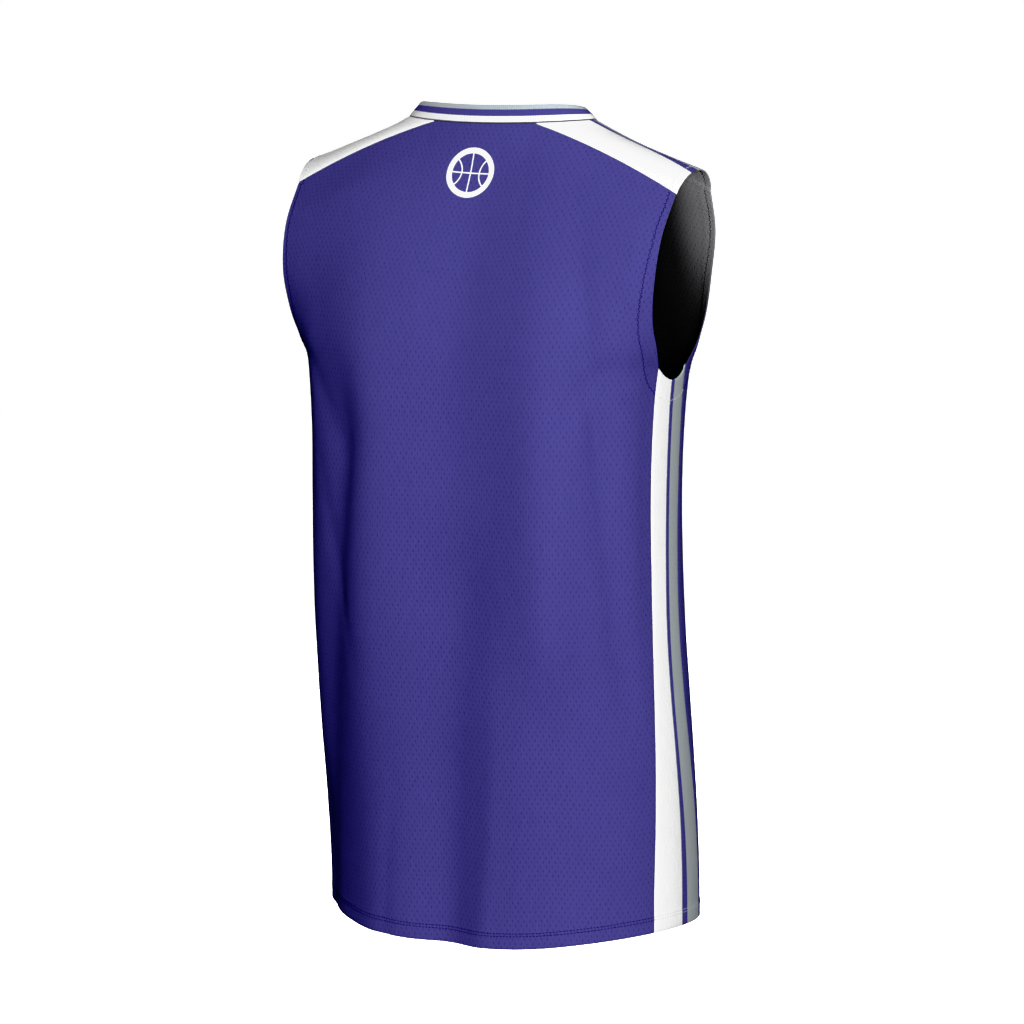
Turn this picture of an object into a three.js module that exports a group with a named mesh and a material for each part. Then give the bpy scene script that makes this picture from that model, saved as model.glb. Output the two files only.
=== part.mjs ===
// Sleeveless basketball jersey, filled out as if worn, with nobody in it.
//
// Millimetres. +Z is up, +X is the wearer's left and the front faces -Y. The origin lies on the centre line at
// the height of the point where the shoulders meet the neckband, which is where a wearer holds the garment up.
// Every cut piece is a closed wall of cloth that follows one skin: rings below the armholes, and a back, a
// front and two shoulder surfaces above them.

import * as THREE from 'three';

// Sizes of the cloth
const WALL = 1.8;               // cloth with its lining of turned edges
const SEAM_GAP = 0.3;           // between two pieces at a seam
const ROUNDNESS = 2.1;          // exponent of the body rings; 2 would be an ellipse

// Heights
const UNDERARM = -219;          // where the side panels meet the armholes
const UNDERARM_DIP = 12;        // the armhole's lowest point lies this far below that
const DIP_ZONE = 0.2;           // share of a side panel's rows that bend with the dip
const HEM_AT_BACK = -743;
const HEM_AT_SIDE = -733.5;
const HEM_DROP = { depth: 5.2, at: -15, spread: 38 };   // on the back the hem hangs lower, round this direction

// Neck seam and neckband
const NECK_HALF_WIDTH = 96;
const NECK_BACK_DEPTH = 38.8;
const NECK_FRONT_DEPTH = 88;
const NECK_BACK_DROP = 4;
const NECK_FRONT_DROP = 96;
const NECK_FRONT_CURVE = 1.6;   // higher is a more pointed neck
const BAND_WIDTH = 15.5;
const BAND_THICKNESS = 2;
const BAND_CLEARANCE = 0.45;    // between the neck seam and the band's lower edge
const BAND_LEAN = { back: 11, side: 46, front: 20 };   // degrees from upright, towards the neck

// Shoulder panels
const YOKE_FROM = 32.5;         // degrees round the neck from the centre back, where a shoulder panel starts
const YOKE_TO = 118;            // and where it ends on the front
const SEAM_BOW = { back: 4.5, front: 3 };   // rise of a shoulder seam above its straight line
const RIDGE_FULLNESS = 0.6;     // how far the panels' own directions carry over the ridge
const TIP_FULLNESS = 0.73;      // the same at the armhole
const TIP_FLARE = 3.5;          // the armhole's top stands out this much more
const NECK_SHARE = { back: 0.27, front: 0.44 };   // part of a panel's half top edge that the neck takes

// Turns the rows of a table into objects with the columns' names.
function tableOf(columns, rows) {
  return rows.map((row) => Object.fromEntries(columns.map((name, i) => [name, row[i]])));
}

// Body rings, one row per height. The seams are given as degrees from the side line.
const BODY = tableOf(
  ['z', 'halfWidth', 'backDepth', 'frontDepth', 'centreY', 'backSeam', 'frontSeam'],
  [
    [-760, 181.5, 128, 134, -20.0, 18.4, 15.4],
    [-742, 181.8, 128, 134, -19.9, 18.4, 15.4],
    [-700, 182.6, 127, 133, -18.2, 18.4, 15.4],
    [-640, 183.0, 126, 132, -13.3, 16.8, 14.0],
    [-580, 183.0, 125, 130, -6.6, 15.1, 10.8],
    [-520, 182.6, 124, 128, 0.8, 13.7, 8.0],
    [-460, 182.0, 123, 125, 7.4, 12.6, 7.0],
    [-400, 181.3, 123, 123, 11.0, 12.0, 7.8],
    [-340, 181.0, 122, 122, 12.4, 12.0, 9.4],
    [-280, 182.6, 120, 121, 11.4, 12.5, 9.4],
    [-245, 185.4, 119, 120, 10.7, 13.0, 8.2],
    [-219, 188.6, 118, 119, 9.7, 13.3, 7.0],
  ],
);

// Edge of the wearer's left armhole above the underarm, on the back panel and on the front panel.
const ARMHOLE = tableOf(
  ['z', 'backX', 'backY', 'frontX', 'frontY'],
  [
    [-200.0, 188.5, 51.7, 186.5, -30.0],
    [-175.0, 190.7, 64.0, 187.0, -45.5],
    [-140.0, 194.6, 68.6, 190.0, -50.0],
    [-100.0, 196.8, 59.5, 194.6, -48.5],
    [-62.5, 197.9, 34.7, 197.9, -32.6],
  ],
);

// Large folds of the body, one row per fold: where it starts and ends, its direction in degrees from the
// centre back towards the wearer's left, its half spread in degrees, and its height, with troughs negative.
const FOLDS = tableOf(
  ['topZ', 'topAngle', 'topSpread', 'topHeight', 'lowZ', 'lowAngle', 'lowSpread', 'lowHeight'],
  [
    [-205, 27, 9, -7.3, -760, 61, 12, -4.6],
    [-150, 22, 8, 7.0, -760, 21.5, 14, 8.0],
    [-70, -30.5, 12, 6.5, -560, -36, 8, 7.0],
    [-330, -7.5, 13, -8.0, -760, 0, 7, -10.0],
    [-200, -40, 13, 6.5, -760, -21, 14, 3.5],
    [-160, -47.5, 6, -6.0, -600, -66, 6, -2.6],
    [-560, 60.5, 7, -6.0, -760, 68, 6, 2.0],
    [-205, 153, 9, -6.5, -760, 126, 12, -5.0],
    [-150, 161, 9, 5.5, -760, 160, 14, 6.5],
    [-300, 189, 12, -6.0, -760, 181, 7, -9.0],
    [-90, 211, 12, 5.0, -560, 215, 8, 6.0],
    [-200, 222, 13, 5.0, -760, 203, 14, 3.0],
  ],
);
const FOLD_FADE = 110;          // height over which a fold grows out of smooth cloth

// Direction in which the cloth arrives at its top edge: at the middle of the panel and at the armhole.
const RISE = {
  back: { middle: [0, -37, 57], side: [-1, -30, 28] },
  front: { middle: [0, 19, 37], side: [3, 20, 33] },
};
const RISE_FROM_BODY = 62;      // reach of the body's own direction above the underarm
const BODY_SLICE = 6;           // height over which that direction is taken
const EDGE_ZONE = 0.35;         // from this share of a half panel outwards, the cloth follows the armhole

// Grid of each piece
const ROWS_BELOW = 18;          // from the hem to the underarm
const ROWS_ABOVE = 12;          // from the underarm to the shoulder
const SEAM_STEPS = 12;          // along a shoulder seam
const NECK_STEPS = { back: 8, front: 12 };
const RIDGE_STEPS = 8;          // across a shoulder panel, from back to front
const SIDE_STEPS = 4;           // across a side panel
const BAND_STEPS = 2;           // up the neckband

const SMALL_STEP = 1e-3;        // of a skin's width and height, for its normals

const BLUE_VIOLET = '#4a4491';
const WHITE = '#f9f9f9';

const degrees = THREE.MathUtils.degToRad;
const clamp = THREE.MathUtils.clamp;
const lerp = THREE.MathUtils.lerp;
const vector = (x, y, z) => new THREE.Vector3(x, y, z);
const mixed = (a, b, share) => a.clone().lerp(b, share);

function smooth(x) {
  const t = clamp(x, 0, 1);
  return t * t * (3 - 2 * t);
}

function power(x, exponent) {
  return Math.sign(x) * Math.abs(x) ** exponent;
}

// Slope of a column at each row, from the rows on both sides.
function slopes(at, values) {
  return values.map((value, i) => {
    if (i === 0) return (values[1] - value) / (at[1] - at[0]);
    if (i === values.length - 1) return (value - values[i - 1]) / (at[i] - at[i - 1]);
    const before = at[i] - at[i - 1];
    const after = at[i + 1] - at[i];
    const left = (value - values[i - 1]) / before;
    const right = (values[i + 1] - value) / after;
    return (left * after + right * before) / (before + after);
  });
}

// Smooth curve through a column of values.
function curveThrough(at, values) {
  const slope = slopes(at, values);
  return (x) => {
    const inside = clamp(x, at[0], at[at.length - 1]);
    let i = 0;
    while (i < at.length - 2 && inside >= at[i + 1]) i += 1;
    const h = at[i + 1] - at[i];
    const t = (inside - at[i]) / h;
    const t2 = t * t;
    const t3 = t2 * t;
    const start = (2 * t3 - 3 * t2 + 1) * values[i] + (t3 - 2 * t2 + t) * h * slope[i];
    const end = (3 * t2 - 2 * t3) * values[i + 1] + (t3 - t2) * h * slope[i + 1];
    return start + end;
  };
}

const body = {};
for (const name of ['halfWidth', 'backDepth', 'frontDepth', 'centreY', 'backSeam', 'frontSeam']) {
  body[name] = curveThrough(BODY.map((row) => row.z), BODY.map((row) => row[name]));
}

function foldHeight(angle, z) {
  let total = 0;
  for (const fold of FOLDS) {
    const run = clamp((fold.topZ - z) / (fold.topZ - fold.lowZ), 0, 1);
    const grown = smooth((fold.topZ - z) / FOLD_FADE);
    const dying = fold.lowZ > HEM_AT_BACK ? smooth((z - fold.lowZ) / FOLD_FADE) : 1;
    const middle = lerp(fold.topAngle, fold.lowAngle, run);
    const away = THREE.MathUtils.euclideanModulo(angle - middle + 180, 360) - 180;
    const spread = lerp(fold.topSpread, fold.lowSpread, run);
    total += lerp(fold.topHeight, fold.lowHeight, run) * grown * dying * Math.exp(-((away / spread) ** 2));
  }
  return total;
}

// Point of the body at a height, in a direction given in degrees from the centre back.
function ring(z, angle) {
  const s = Math.sin(degrees(angle));
  const c = Math.cos(degrees(angle));
  const fold = foldHeight(angle, z);
  const depth = (c >= 0 ? body.backDepth(z) : body.frontDepth(z)) + fold;
  const x = (body.halfWidth(z) + fold) * power(s, 2 / ROUNDNESS);
  const y = body.centreY(z) + depth * power(c, 2 / ROUNDNESS);
  return vector(x, y, z);
}

function hemHeight(angle) {
  const away = THREE.MathUtils.euclideanModulo(angle - HEM_DROP.at + 180, 360) - 180;
  const level = lerp(HEM_AT_BACK, HEM_AT_SIDE, Math.sin(degrees(angle)) ** 2);
  return level - HEM_DROP.depth * Math.exp(-((away / HEM_DROP.spread) ** 2));
}

// Point of the neck seam, in degrees from the centre back.
function neck(angle) {
  const s = Math.sin(degrees(angle));
  const c = Math.cos(degrees(angle));
  if (c >= 0) return vector(NECK_HALF_WIDTH * s, NECK_BACK_DEPTH * c, -NECK_BACK_DROP * c * c);
  return vector(NECK_HALF_WIDTH * s, NECK_FRONT_DEPTH * c, -NECK_FRONT_DROP * Math.abs(c) ** NECK_FRONT_CURVE);
}

function bezier(p0, p1, p2, p3, t) {
  return new THREE.CubicBezierCurve3(p0, p1, p2, p3).getPoint(t);
}

// Direction from the centre back for a position across a panel: -1 and 1 are its side seams.
function angleAcross(panel, across, z) {
  if (panel === 'back') return across * (90 - body.backSeam(z));
  return 180 - across * (90 - body.frontSeam(z));
}

// Armhole edges of the wearer's left side: 0 at the underarm seam, 1 at the shoulder seam.
function edgeCurve(panel) {
  const foot = ring(UNDERARM, angleAcross(panel, 1, UNDERARM));
  const rest = ARMHOLE.map((row) => vector(row[`${panel}X`], row[`${panel}Y`], row.z));
  const points = [foot, ...rest];
  const at = points.map((point, i) => i / (points.length - 1));
  const axes = ['x', 'y', 'z'].map((axis) => curveThrough(at, points.map((point) => point[axis])));
  return (t) => vector(axes[0](t), axes[1](t), axes[2](t));
}
const armholeEdge = { back: edgeCurve('back'), front: edgeCurve('front') };

// Armhole edge over the shoulder: 0 at the back seam, 1 at the front seam.
function armholeTop(t) {
  const from = armholeEdge.back(1);
  const to = armholeEdge.front(1);
  const flare = vector(TIP_FLARE, 0, 0);
  const last = ARMHOLE.length;
  const stepBack = from.clone().sub(armholeEdge.back((last - 1) / last)).multiplyScalar(TIP_FULLNESS);
  const stepFront = to.clone().sub(armholeEdge.front((last - 1) / last)).multiplyScalar(TIP_FULLNESS);
  return bezier(from, from.clone().add(stepBack).add(flare), to.clone().add(stepFront).add(flare), to, t);
}

function rise(panel, across) {
  const { middle, side } = RISE[panel];
  return mixed(vector(...middle), vector(...side), Math.abs(across) ** 1.5);
}

// Cross strip of a shoulder panel before its ends are fitted to the neck and the armhole.
function strip(along, over) {
  const bow = 4 * along * (1 - along);
  const from = mixed(neck(YOKE_FROM), armholeEdge.back(1), along).add(vector(0, 0, SEAM_BOW.back * bow));
  const to = mixed(neck(YOKE_TO), armholeEdge.front(1), along).add(vector(0, 0, SEAM_BOW.front * bow));
  const backRise = rise('back', lerp(NECK_SHARE.back, 1, along)).multiplyScalar(RIDGE_FULLNESS);
  const frontRise = rise('front', lerp(NECK_SHARE.front, 1, along)).multiplyScalar(RIDGE_FULLNESS);
  return bezier(from, from.clone().add(backRise), to.clone().add(frontRise), to, over);
}

// Wearer's left shoulder panel: along from the neck to the armhole, over from the back seam to the front seam.
function shoulder(along, over) {
  const nearNeck = neck(lerp(YOKE_FROM, YOKE_TO, over)).sub(strip(0, over));
  const nearArm = armholeTop(over).sub(strip(1, over));
  return strip(along, over)
    .addScaledVector(nearNeck, (1 - along) ** 2)
    .addScaledVector(nearArm, along ** 2);
}

// Top edge of the back or front panel: the neck seam in the middle, then the shoulder seam.
function topEdge(panel, across) {
  const share = NECK_SHARE[panel];
  const reach = Math.abs(across);
  const onNeck = panel === 'back'
    ? lerp(0, YOKE_FROM, reach / share)
    : lerp(180, YOKE_TO, reach / share);
  const along = (reach - share) / (1 - share);
  const point = reach <= share ? neck(onNeck) : shoulder(along, panel === 'back' ? 0 : 1);
  if (across < 0) point.x *= -1;
  return point;
}

function columnOf(panel, across, up) {
  const start = ring(UNDERARM, angleAcross(panel, across, UNDERARM));
  const below = ring(UNDERARM - BODY_SLICE, angleAcross(panel, across, UNDERARM - BODY_SLICE));
  const away = start.clone().sub(below).multiplyScalar(RISE_FROM_BODY / BODY_SLICE);
  const end = topEdge(panel, across);
  return bezier(start, start.clone().add(away), end.clone().sub(rise(panel, across)), end, up);
}

// Back or front panel above the underarm: across from -1 to 1, up from 0 to 1.
function upper(panel, across, up) {
  const point = columnOf(panel, across, up);
  const side = across < 0 ? -1 : 1;
  const edge = armholeEdge[panel](up);
  edge.x *= side;
  const miss = edge.sub(columnOf(panel, side, up));
  return point.addScaledVector(miss, smooth((Math.abs(across) - EDGE_ZONE) / (1 - EDGE_ZONE)));
}

function lower(panel, across, up) {
  const atHem = hemHeight(angleAcross(panel, across, HEM_AT_SIDE));
  const z = lerp(atHem, UNDERARM, up);
  return ring(z, angleAcross(panel, across, z));
}

// Sign that turns the cross product of a panel's own directions out of the garment.
const OUTWARD = { back: -1, front: 1 };

// Outward normal of a skin by small steps on it, kept inside its edges.
function normalAt(skin, u, v, outward) {
  const step = SMALL_STEP;
  const alongU = skin(Math.min(u + step, 1), v).sub(skin(Math.max(u - step, 0), v));
  const alongV = skin(u, Math.min(v + step, 1)).sub(skin(u, Math.max(v - step, 0)));
  return alongU.cross(alongV).normalize().multiplyScalar(outward);
}

// Normal that both walls share along a shoulder seam of the wearer's left side, so that they are mitred there.
function seamNormal(panel, along) {
  const across = lerp(NECK_SHARE[panel], 1, along);
  const own = normalAt((u, v) => upper(panel, u, v), across, 1, OUTWARD[panel]);
  const over = normalAt(shoulder, along, panel === 'back' ? 0 : 1, -1);
  return own.add(over).normalize();
}

// Closed wall of cloth between a skin and the same skin moved inwards. The skin and its normals are functions
// of u and v from 0 to 1, and us and vs are the positions of its columns and rows. Outward is 1 where u turned
// towards v points out of the garment, and -1 where it points in. A closed skin joins its last column to its
// first.
function clothWall({ skin, normal, us, vs, outward, thickness = WALL, closed = false }) {
  const outside = [];
  const inside = [];
  for (const v of vs) {
    for (const u of us) {
      const point = skin(u, v);
      outside.push(point);
      inside.push(point.clone().addScaledVector(normal(u, v), -thickness));
    }
  }
  const columns = us.length;
  const rows = vs.length;
  const count = outside.length;
  const index = [];
  const quad = (a, b, c, d) => {
    if (outward > 0) index.push(a, b, c, a, c, d);
    else index.push(a, c, b, a, d, c);
  };
  const spans = closed ? columns : columns - 1;
  for (let row = 0; row < rows - 1; row += 1) {
    for (let column = 0; column < spans; column += 1) {
      const next = (column + 1) % columns;
      const a = row * columns + column;
      const b = row * columns + next;
      const c = (row + 1) * columns + next;
      const d = (row + 1) * columns + column;
      quad(a, b, c, d);
      quad(a + count, d + count, c + count, b + count);
    }
  }
  for (let column = 0; column < spans; column += 1) {
    const next = (column + 1) % columns;
    const top = (rows - 1) * columns;
    quad(column + count, next + count, next, column);
    quad(top + column, top + next, top + next + count, top + column + count);
  }
  if (!closed) {
    for (let row = 0; row < rows - 1; row += 1) {
      const a = row * columns;
      const b = (row + 1) * columns;
      const end = columns - 1;
      quad(a + count, a, b, b + count);
      quad(a + end, a + end + count, b + end + count, b + end);
    }
  }
  const geometry = new THREE.BufferGeometry();
  const positions = [...outside, ...inside].flatMap((point) => [point.x, point.y, point.z]);
  geometry.setAttribute('position', new THREE.Float32BufferAttribute(positions, 3));
  geometry.setIndex(index);
  geometry.computeVertexNormals();
  return geometry;
}

function evenly(from, to, steps) {
  return Array.from({ length: steps + 1 }, (unused, i) => lerp(from, to, i / steps));
}

function joined(...lists) {
  return lists.flatMap((list, i) => (i === 0 ? list : list.slice(1)));
}

const HALF_GAP = SEAM_GAP / 2;
const PANEL_HALF_LENGTH = 245;  // from the middle of a panel to its side seam, along the cloth
const COLUMN_LENGTH = 230;      // from the underarm to the top edge
const OVER_LENGTH = 95;         // across a shoulder panel at its narrowest
const SIDE_WIDTH = 55;

// Back and front panels. Their rows below the underarm have the same heights as those of the side panels.
function panelGeometry(panel) {
  const share = NECK_SHARE[panel];
  const across = joined(
    evenly(-1, -share, SEAM_STEPS),
    evenly(-share, share, NECK_STEPS[panel]),
    evenly(share, 1, SEAM_STEPS),
  );
  const inset = 1 - HALF_GAP / PANEL_HALF_LENGTH;
  const waist = ROWS_BELOW / (ROWS_BELOW + ROWS_ABOVE);
  const top = 1 - HALF_GAP / COLUMN_LENGTH;
  const skin = (u, v) => {
    const t = (2 * u - 1) * inset;
    return v <= waist ? lower(panel, t, v / waist) : upper(panel, t, ((v - waist) / (1 - waist)) * top);
  };
  const normal = (u, v) => {
    const t = 2 * u - 1;
    const along = (Math.abs(t) - share) / (1 - share);
    if (v < 1 || along < -SMALL_STEP) return normalAt(skin, u, v, OUTWARD[panel]);
    const shared = seamNormal(panel, Math.max(along, 0));
    if (t < 0) shared.x *= -1;
    return shared;
  };
  const us = across.map((t) => (t + 1) / 2);
  return clothWall({ skin, normal, us, vs: evenly(0, 1, ROWS_BELOW + ROWS_ABOVE), outward: OUTWARD[panel] });
}

// Side panel, with the armhole's lowest part cut into its top edge.
function sideGeometry(side) {
  const inset = HALF_GAP / SIDE_WIDTH;
  const skin = (u, v) => {
    const t = lerp(inset, 1 - inset, u);
    const dip = UNDERARM_DIP * (1 - (2 * t - 1) ** 2);
    const at = (z) => lerp(90 - body.backSeam(z), 90 + body.frontSeam(z), t);
    const z = lerp(hemHeight(side * at(HEM_AT_SIDE)), UNDERARM, v) - dip * smooth((v - 1 + DIP_ZONE) / DIP_ZONE);
    return ring(z, side * at(z));
  };
  const normal = (u, v) => normalAt(skin, u, v, -side);
  return clothWall({
    skin, normal, us: evenly(0, 1, SIDE_STEPS), vs: evenly(0, 1, ROWS_BELOW), outward: -side,
  });
}

function shoulderGeometry(side) {
  const inset = HALF_GAP / OVER_LENGTH;
  const skin = (u, v) => {
    const point = shoulder(u, lerp(inset, 1 - inset, v));
    point.x *= side;
    return point;
  };
  const normal = (u, v) => {
    if (v > 0 && v < 1) return normalAt(skin, u, v, -side);
    const shared = seamNormal(v === 0 ? 'back' : 'front', u);
    shared.x *= side;
    return shared;
  };
  return clothWall({
    skin, normal, us: evenly(0, 1, SEAM_STEPS), vs: evenly(0, 1, RIDGE_STEPS), outward: -side,
  });
}

// Neckband: it stands on the neck seam and leans in over the neck.
function bandGeometry() {
  const skin = (u, v) => {
    const angle = 360 * u;
    const s = Math.sin(degrees(angle));
    const c = Math.cos(degrees(angle));
    const lean = degrees(lerp(c >= 0 ? BAND_LEAN.back : BAND_LEAN.front, BAND_LEAN.side, s ** 4));
    const inwards = vector(-s / NECK_HALF_WIDTH, -c / (c >= 0 ? NECK_BACK_DEPTH : NECK_FRONT_DEPTH), 0);
    const direction = inwards.normalize().multiplyScalar(Math.sin(lean)).add(vector(0, 0, Math.cos(lean)));
    return neck(angle).addScaledVector(direction, BAND_CLEARANCE + BAND_WIDTH * v);
  };
  const half = joined(
    evenly(0, YOKE_FROM, NECK_STEPS.back / 2),
    evenly(YOKE_FROM, YOKE_TO, RIDGE_STEPS),
    evenly(YOKE_TO, 180, NECK_STEPS.front / 2),
  );
  const angles = [...half, ...half.slice(1, -1).reverse().map((angle) => 360 - angle)];
  const normal = (u, v) => normalAt(skin, u, v, -1);
  return clothWall({
    skin,
    normal,
    us: angles.map((angle) => angle / 360),
    vs: evenly(0, 1, BAND_STEPS),
    outward: -1,
    thickness: BAND_THICKNESS,
    closed: true,
  });
}

function cloth(name, geometry, colour, roughness) {
  const material = new THREE.MeshStandardMaterial({ color: colour, roughness, metalness: 0 });
  const mesh = new THREE.Mesh(geometry, material);
  mesh.name = name;
  return mesh;
}

const jersey = new THREE.Group();
jersey.add(
  cloth('back', panelGeometry('back'), BLUE_VIOLET, 0.85),
  cloth('front', panelGeometry('front'), BLUE_VIOLET, 0.85),
  cloth('side_panel_left', sideGeometry(1), WHITE, 0.85),
  cloth('side_panel_right', sideGeometry(-1), WHITE, 0.85),
  cloth('shoulder_panel_left', shoulderGeometry(1), WHITE, 0.85),
  cloth('shoulder_panel_right', shoulderGeometry(-1), WHITE, 0.85),
  cloth('collar', bandGeometry(), WHITE, 0.8),
);

export default jersey;
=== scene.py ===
# Sleeveless basketball jersey, filled out as if worn: its cloth, knit, seams and stitching.
#
# The frame is in metres: +Z is up, +X is the wearer's left and the front faces -Y. The cut is written in
# millimetres, as a maker notes it, and becomes metres where a mesh is built. The knit, the stripes, the print
# and the threads are in metres. A place on a panel is given along the cloth: side from the panel's centre
# line towards the wearer's left, and height above the underarm line.
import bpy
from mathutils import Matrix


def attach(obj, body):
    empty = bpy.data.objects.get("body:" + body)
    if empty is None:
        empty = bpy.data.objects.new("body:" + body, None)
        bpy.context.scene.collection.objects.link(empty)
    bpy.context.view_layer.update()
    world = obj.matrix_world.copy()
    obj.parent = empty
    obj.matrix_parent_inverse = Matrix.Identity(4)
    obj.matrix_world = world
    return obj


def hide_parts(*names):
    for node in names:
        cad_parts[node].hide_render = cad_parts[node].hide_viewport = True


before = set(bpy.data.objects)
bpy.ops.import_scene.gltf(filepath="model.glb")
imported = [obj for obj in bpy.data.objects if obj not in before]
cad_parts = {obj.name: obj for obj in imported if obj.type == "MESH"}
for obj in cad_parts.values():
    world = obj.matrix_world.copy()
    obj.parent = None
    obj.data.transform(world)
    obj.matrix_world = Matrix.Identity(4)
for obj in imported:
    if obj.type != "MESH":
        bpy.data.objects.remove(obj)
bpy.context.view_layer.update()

import math

import bpy
import numpy as np
from mathutils import Vector
from mathutils.bvhtree import BVHTree

MM = 0.001

# The garment's form, the same as that of its solids
SEAM_GAP = 0.3
ROUNDNESS = 2.1
UNDERARM = -219.0
UNDERARM_DIP = 12.0
DIP_ZONE = 0.2
HEM_AT_BACK = -743.0
HEM_AT_SIDE = -733.5
HEM_DROP = {"depth": 5.2, "at": -15.0, "spread": 38.0}
NECK_HALF_WIDTH = 96.0
NECK_BACK_DEPTH = 38.8
NECK_FRONT_DEPTH = 88.0
NECK_BACK_DROP = 4.0
NECK_FRONT_DROP = 96.0
NECK_FRONT_CURVE = 1.6
BAND_WIDTH = 15.5
BAND_CLEARANCE = 0.45
BAND_LAP = 0.9                  # the neckband laps over the panels' neck edge by this much
BAND_LEAN = {"back": 11.0, "side": 46.0, "front": 20.0}
YOKE_FROM = 32.5
YOKE_TO = 118.0
SEAM_BOW = {"back": 4.5, "front": 3.0}
RIDGE_FULLNESS = 0.6
TIP_FULLNESS = 0.73
TIP_FLARE = 3.5
NECK_SHARE = {"back": 0.27, "front": 0.44}
RISE = {
    "back": {"middle": (0, -37, 57), "side": (-1, -30, 28)},
    "front": {"middle": (0, 19, 37), "side": (3, 20, 33)},
}
RISE_FROM_BODY = 62.0
BODY_SLICE = 6.0
EDGE_ZONE = 0.35
OUTWARD = {"back": -1, "front": 1}

# Body rings, one row per height. The seams are given as degrees from the side line.
BODY_COLUMNS = ("z", "half_width", "back_depth", "front_depth", "centre_y", "back_seam", "front_seam")
BODY = np.array([
    [-760, 181.5, 128, 134, -20.0, 18.4, 15.4],
    [-742, 181.8, 128, 134, -19.9, 18.4, 15.4],
    [-700, 182.6, 127, 133, -18.2, 18.4, 15.4],
    [-640, 183.0, 126, 132, -13.3, 16.8, 14.0],
    [-580, 183.0, 125, 130, -6.6, 15.1, 10.8],
    [-520, 182.6, 124, 128, 0.8, 13.7, 8.0],
    [-460, 182.0, 123, 125, 7.4, 12.6, 7.0],
    [-400, 181.3, 123, 123, 11.0, 12.0, 7.8],
    [-340, 181.0, 122, 122, 12.4, 12.0, 9.4],
    [-280, 182.6, 120, 121, 11.4, 12.5, 9.4],
    [-245, 185.4, 119, 120, 10.7, 13.0, 8.2],
    [-219, 188.6, 118, 119, 9.7, 13.3, 7.0],
])

# Edge of the wearer's left armhole above the underarm: x, y and z on the back panel and on the front panel
ARMHOLE = {
    "back": np.array([
        [188.5, 51.7, -200.0],
        [190.7, 64.0, -175.0],
        [194.6, 68.6, -140.0],
        [196.8, 59.5, -100.0],
        [197.9, 34.7, -62.5],
    ]),
    "front": np.array([
        [186.5, -30.0, -200.0],
        [187.0, -45.5, -175.0],
        [190.0, -50.0, -140.0],
        [194.6, -48.5, -100.0],
        [197.9, -32.6, -62.5],
    ]),
}

# Large folds of the body: top z, angle, spread and height, then the same at their low end. Angles and
# spreads are degrees from the centre back towards the wearer's left, and troughs have a negative height.
FOLDS = [
    (-205, 27, 9, -7.3, -760, 61, 12, -4.6),
    (-150, 22, 8, 7.0, -760, 21.5, 14, 8.0),
    (-70, -30.5, 12, 6.5, -560, -36, 8, 7.0),
    (-330, -7.5, 13, -8.0, -760, 0, 7, -10.0),
    (-200, -40, 13, 6.5, -760, -21, 14, 3.5),
    (-160, -47.5, 6, -6.0, -600, -66, 6, -2.6),
    (-560, 60.5, 7, -6.0, -760, 68, 6, 2.0),
    (-205, 153, 9, -6.5, -760, 126, 12, -5.0),
    (-150, 161, 9, 5.5, -760, 160, 14, 6.5),
    (-300, 189, 12, -6.0, -760, 181, 7, -9.0),
    (-90, 211, 12, 5.0, -560, 215, 8, 6.0),
    (-200, 222, 13, 5.0, -760, 203, 14, 3.0),
]
FOLD_FADE = 110.0

# Creases of each panel: side, height, half width and depth at one end, then at the other,
# and how far the crease bows sideways in its middle. Troughs have a negative depth.
CREASES = {
    "back": [
        (-150, 140, 46, 6.0, -166, -230, 44, 6.0, 4),
        (102, 180, 48, 7.0, 112, -20, 42, 4.0, -4),
        (-14, 200, 50, -13.0, -24, -210, 48, -11.0, 0),
        (161, 50, 20, 2.6, 158, -90, 18, 2.6, 0),
        (-132, 70, 9, -1.3, -164, -90, 10, -1.2, 2),
        (-150, 60, 11, -1.2, -104, -120, 12, -1.0, 6),
        (-168, 8, 9, -1.4, -120, -60, 14, -0.7, -3),
        (168, 8, 9, -1.6, 112, -80, 14, -0.8, 4),
        (150, -90, 9, -0.9, 96, -260, 11, -1.1, -5),
        (-60, -300, 10, 0.8, -34, -560, 9, 1.3, 3),
        (48, -380, 9, -0.8, 66, -560, 8, -1.4, -4),
    ],
    "front": [
        (-104, 120, 34, 3.0, -116, 20, 34, 2.0, 4),
        (98, 128, 36, 3.2, 118, 14, 34, 2.2, -4),
        (6, 60, 44, -5.0, 12, -170, 44, -4.0, 0),
        (-160, 10, 9, -1.4, -104, -90, 13, -0.8, -4),
        (164, 6, 9, -1.5, 100, -70, 13, -0.8, 3),
        (-148, -110, 9, -0.9, -92, -280, 11, -1.1, 5),
        (20, -330, 11, 0.9, 4, -560, 9, 1.3, -3),
        (120, -300, 9, -0.8, 132, -520, 9, -1.2, 4),
    ],
}
CREASE_ENDS = 0.3               # share of a crease's length over which each end fades
CREASE_TO_EDGE = 50.0           # creases fade towards the neck and the shoulder seams over this distance
CREASE_TO_SEAM = 22.0           # the same towards the side seams and the armholes

# Cloth
CLOTH = 0.9                     # thickness of one layer
TURNING = 0.5                   # what a turned edge adds
HEM_TURNING = 13.0              # how far the hem is turned in
ARMHOLE_TURNING = 15.0
NECKBAND = 2.0                  # thickness of the folded neckband
SEAM_DIP = 0.7                  # the cloth sinks this far into a seam
SEAM_DIP_REACH = 1.6
PUCKER = 0.16                   # height of the small ripples beside a seam
PUCKER_REACH = 16.0
PUCKER_LENGTH = 11.0
HEM_PUCKER_REACH = 8.0
HEM_STEP = 0.22                 # the doubled cloth of the hem stands out by this much
RIDGE_HOLLOW = 2.8              # the shoulder's ridge hangs in by this much between neck and armhole

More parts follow.
